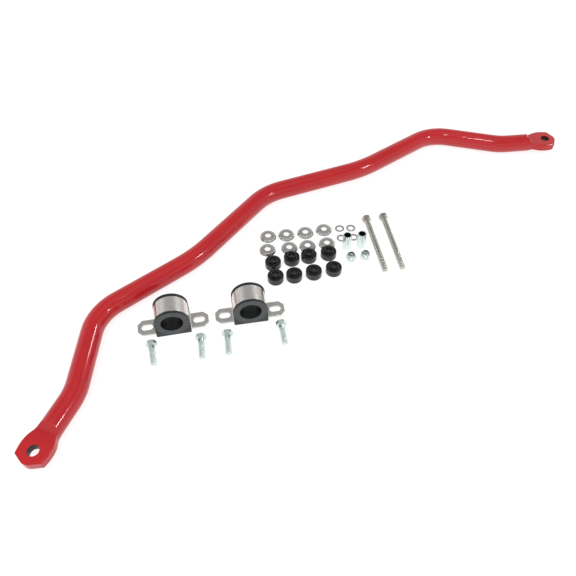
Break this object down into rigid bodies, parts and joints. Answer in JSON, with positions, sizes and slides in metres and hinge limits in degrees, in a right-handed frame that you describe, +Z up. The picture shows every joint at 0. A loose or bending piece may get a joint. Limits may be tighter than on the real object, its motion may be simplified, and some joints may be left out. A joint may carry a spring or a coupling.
{
  "type": "sway bar",
  "caption": "Front anti-roll bar with bent arms and flattened end eyes, laid out with its split bushings, slotted straps, bracket bolts and end link hardware.",
  "frame": {"origin": "centre of the laid-out kit on the surface that it rests on (Z = 0), on the bar's plane of symmetry (X = 0)", "axes": "+X along the bar from its left eye to its right eye, +Y away from the bar's arms (towards the car's far side of the bar), +Z up, square to the plane of the bar's bends"},
  "size_m": [1.0638, 0.2791, 0.0524],
  "materials": {
    "red_powder_coat": "gloss powder coat",
    "bushing_polyurethane": "satin cast polyurethane",
    "grommet_polyurethane": "satin cast polyurethane",
    "strap_steel": "mill-finish steel with straight grain",
    "washer_steel": "satin zinc-plated pressing",
    "clear_zinc": "bright clear zinc plate",
    "plated_link_steel": "satin zinc plate",
    "nylon": "moulded nylon"
  },
  "bodies": {
    "bar": {"sway_bar": "red_powder_coat"},
    "bushing_left": {"frame_bushing_left": "bushing_polyurethane"},
    "strap_left": {"bushing_strap_left": "strap_steel"},
    "bushing_right": {"frame_bushing_right": "bushing_polyurethane"},
    "strap_right": {"bushing_strap_right": "strap_steel"},
    "bracket_bolt_1": {"bracket_bolt_1": "clear_zinc"},
    "bracket_bolt_2": {"bracket_bolt_2": "clear_zinc"},
    "bracket_bolt_3": {"bracket_bolt_3": "clear_zinc"},
    "bracket_bolt_4": {"bracket_bolt_4": "clear_zinc"},
    "link_bolt_1": {"link_bolt_1": "plated_link_steel"},
    "link_bolt_2": {"link_bolt_2": "plated_link_steel"},
    "cup_washer_1": {"cup_washer_1": "washer_steel"},
    "cup_washer_2": {"cup_washer_2": "washer_steel"},
    "cup_washer_3": {"cup_washer_3": "washer_steel"},
    "cup_washer_4": {"cup_washer_4": "washer_steel"},
    "cup_washer_5": {"cup_washer_5": "washer_steel"},
    "cup_washer_6": {"cup_washer_6": "washer_steel"},
    "cup_washer_7": {"cup_washer_7": "washer_steel"},
    "cup_washer_8": {"cup_washer_8": "washer_steel"},
    "grommet_1": {"grommet_1": "grommet_polyurethane"},
    "grommet_2": {"grommet_2": "grommet_polyurethane"},
    "grommet_3": {"grommet_3": "grommet_polyurethane"},
    "grommet_4": {"grommet_4": "grommet_polyurethane"},
    "grommet_5": {"grommet_5": "grommet_polyurethane"},
    "grommet_6": {"grommet_6": "grommet_polyurethane"},
    "grommet_7": {"grommet_7": "grommet_polyurethane"},
    "grommet_8": {"grommet_8": "grommet_polyurethane"},
    "flat_washer_1": {"flat_washer_1": "washer_steel"},
    "flat_washer_2": {"flat_washer_2": "washer_steel"},
    "flat_washer_3": {"flat_washer_3": "washer_steel"},
    "flat_washer_4": {"flat_washer_4": "washer_steel"},
    "spacer_sleeve_1": {"spacer_sleeve_1": "clear_zinc"},
    "spacer_sleeve_2": {"spacer_sleeve_2": "clear_zinc"},
    "lock_nut_1": {"lock_nut_1": "clear_zinc", "lock_nut_insert_1": "nylon"},
    "lock_nut_2": {"lock_nut_2": "clear_zinc", "lock_nut_insert_2": "nylon"}
  },
  "joints": [
    {"name": "bushing_left_lift", "type": "slide", "parent": "bar", "child": "bushing_left", "axis": [0, 0, 1], "range_m": [0, 0.06]},
    {"name": "strap_left_pull_off", "type": "slide", "parent": "bushing_left", "child": "strap_left", "axis": [0, 0, 1], "range_m": [0, 0.06]},
    {"name": "bushing_right_lift", "type": "slide", "parent": "bar", "child": "bushing_right", "axis": [0, 0, 1], "range_m": [0, 0.06]},
    {"name": "strap_right_pull_off", "type": "slide", "parent": "bushing_right", "child": "strap_right", "axis": [0, 0, 1], "range_m": [0, 0.06]},
    {"name": "bracket_bolt_1_lift", "type": "slide", "parent": "bar", "child": "bracket_bolt_1", "axis": [0, 0, 1], "range_m": [0, 0.06]},
    {"name": "bracket_bolt_2_lift", "type": "slide", "parent": "bar", "child": "bracket_bolt_2", "axis": [0, 0, 1], "range_m": [0, 0.06]},
    {"name": "bracket_bolt_3_lift", "type": "slide", "parent": "bar", "child": "bracket_bolt_3", "axis": [0, 0, 1], "range_m": [0, 0.06]},
    {"name": "bracket_bolt_4_lift", "type": "slide", "parent": "bar", "child": "bracket_bolt_4", "axis": [0, 0, 1], "range_m": [0, 0.06]},
    {"name": "link_bolt_1_lift", "type": "slide", "parent": "bar", "child": "link_bolt_1", "axis": [0, 0, 1], "range_m": [0, 0.06]},
    {"name": "link_bolt_2_lift", "type": "slide", "parent": "bar", "child": "link_bolt_2", "axis": [0, 0, 1], "range_m": [0, 0.06]},
    {"name": "cup_washer_1_lift", "type": "slide", "parent": "bar", "child": "cup_washer_1", "axis": [0, 0, 1], "range_m": [0, 0.06]},
    {"name": "cup_washer_2_lift", "type": "slide", "parent": "bar", "child": "cup_washer_2", "axis": [0, 0, 1], "range_m": [0, 0.06]},
    {"name": "cup_washer_3_lift", "type": "slide", "parent": "bar", "child": "cup_washer_3", "axis": [0, 0, 1], "range_m": [0, 0.06]},
    {"name": "cup_washer_4_lift", "type": "slide", "parent": "bar", "child": "cup_washer_4", "axis": [0, 0, 1], "range_m": [0, 0.06]},
    {"name": "cup_washer_5_lift", "type": "slide", "parent": "bar", "child": "cup_washer_5", "axis": [0, 0, 1], "range_m": [0, 0.06]},
    {"name": "cup_washer_6_lift", "type": "slide", "parent": "bar", "child": "cup_washer_6", "axis": [0, 0, 1], "range_m": [0, 0.06]},
    {"name": "cup_washer_7_lift", "type": "slide", "parent": "bar", "child": "cup_washer_7", "axis": [0, 0, 1], "range_m": [0, 0.06]},
    {"name": "cup_washer_8_lift", "type": "slide", "parent": "bar", "child": "cup_washer_8", "axis": [0, 0, 1], "range_m": [0, 0.06]},
    {"name": "grommet_1_lift", "type": "slide", "parent": "bar", "child": "grommet_1", "axis": [0, 0, 1], "range_m": [0, 0.06]},
    {"name": "grommet_2_lift", "type": "slide", "parent": "bar", "child": "grommet_2", "axis": [0, 0, 1], "range_m": [0, 0.06]},
    {"name": "grommet_3_lift", "type": "slide", "parent": "bar", "child": "grommet_3", "axis": [0, 0, 1], "range_m": [0, 0.06]},
    {"name": "grommet_4_lift", "type": "slide", "parent": "bar", "child": "grommet_4", "axis": [0, 0, 1], "range_m": [0, 0.06]},
    {"name": "grommet_5_lift", "type": "slide", "parent": "bar", "child": "grommet_5", "axis": [0, 0, 1], "range_m": [0, 0.06]},
    {"name": "grommet_6_lift", "type": "slide", "parent": "bar", "child": "grommet_6", "axis": [0, 0, 1], "range_m": [0, 0.06]},
    {"name": "grommet_7_lift", "type": "slide", "parent": "bar", "child": "grommet_7", "axis": [0, 0, 1], "range_m": [0, 0.06]},
    {"name": "grommet_8_lift", "type": "slide", "parent": "bar", "child": "grommet_8", "axis": [0, 0, 1], "range_m": [0, 0.06]},
    {"name": "flat_washer_1_lift", "type": "slide", "parent": "bar", "child": "flat_washer_1", "axis": [0, 0, 1], "range_m": [0, 0.06]},
    {"name": "flat_washer_2_lift", "type": "slide", "parent": "bar", "child": "flat_washer_2", "axis": [0, 0, 1], "range_m": [0, 0.06]},
    {"name": "flat_washer_3_lift", "type": "slide", "parent": "bar", "child": "flat_washer_3", "axis": [0, 0, 1], "range_m": [0, 0.06]},
    {"name": "flat_washer_4_lift", "type": "slide", "parent": "bar", "child": "flat_washer_4", "axis": [0, 0, 1], "range_m": [0, 0.06]},
    {"name": "spacer_sleeve_1_lift", "type": "slide", "parent": "bar", "child": "spacer_sleeve_1", "axis": [0, 0, 1], "range_m": [0, 0.06]},
    {"name": "spacer_sleeve_2_lift", "type": "slide", "parent": "bar", "child": "spacer_sleeve_2", "axis": [0, 0, 1], "range_m": [0, 0.06]},
    {"name": "lock_nut_1_lift", "type": "slide", "parent": "bar", "child": "lock_nut_1", "axis": [0, 0, 1], "range_m": [0, 0.06]},
    {"name": "lock_nut_2_lift", "type": "slide", "parent": "bar", "child": "lock_nut_2", "axis": [0, 0, 1], "range_m": [0, 0.06]}
  ]
}
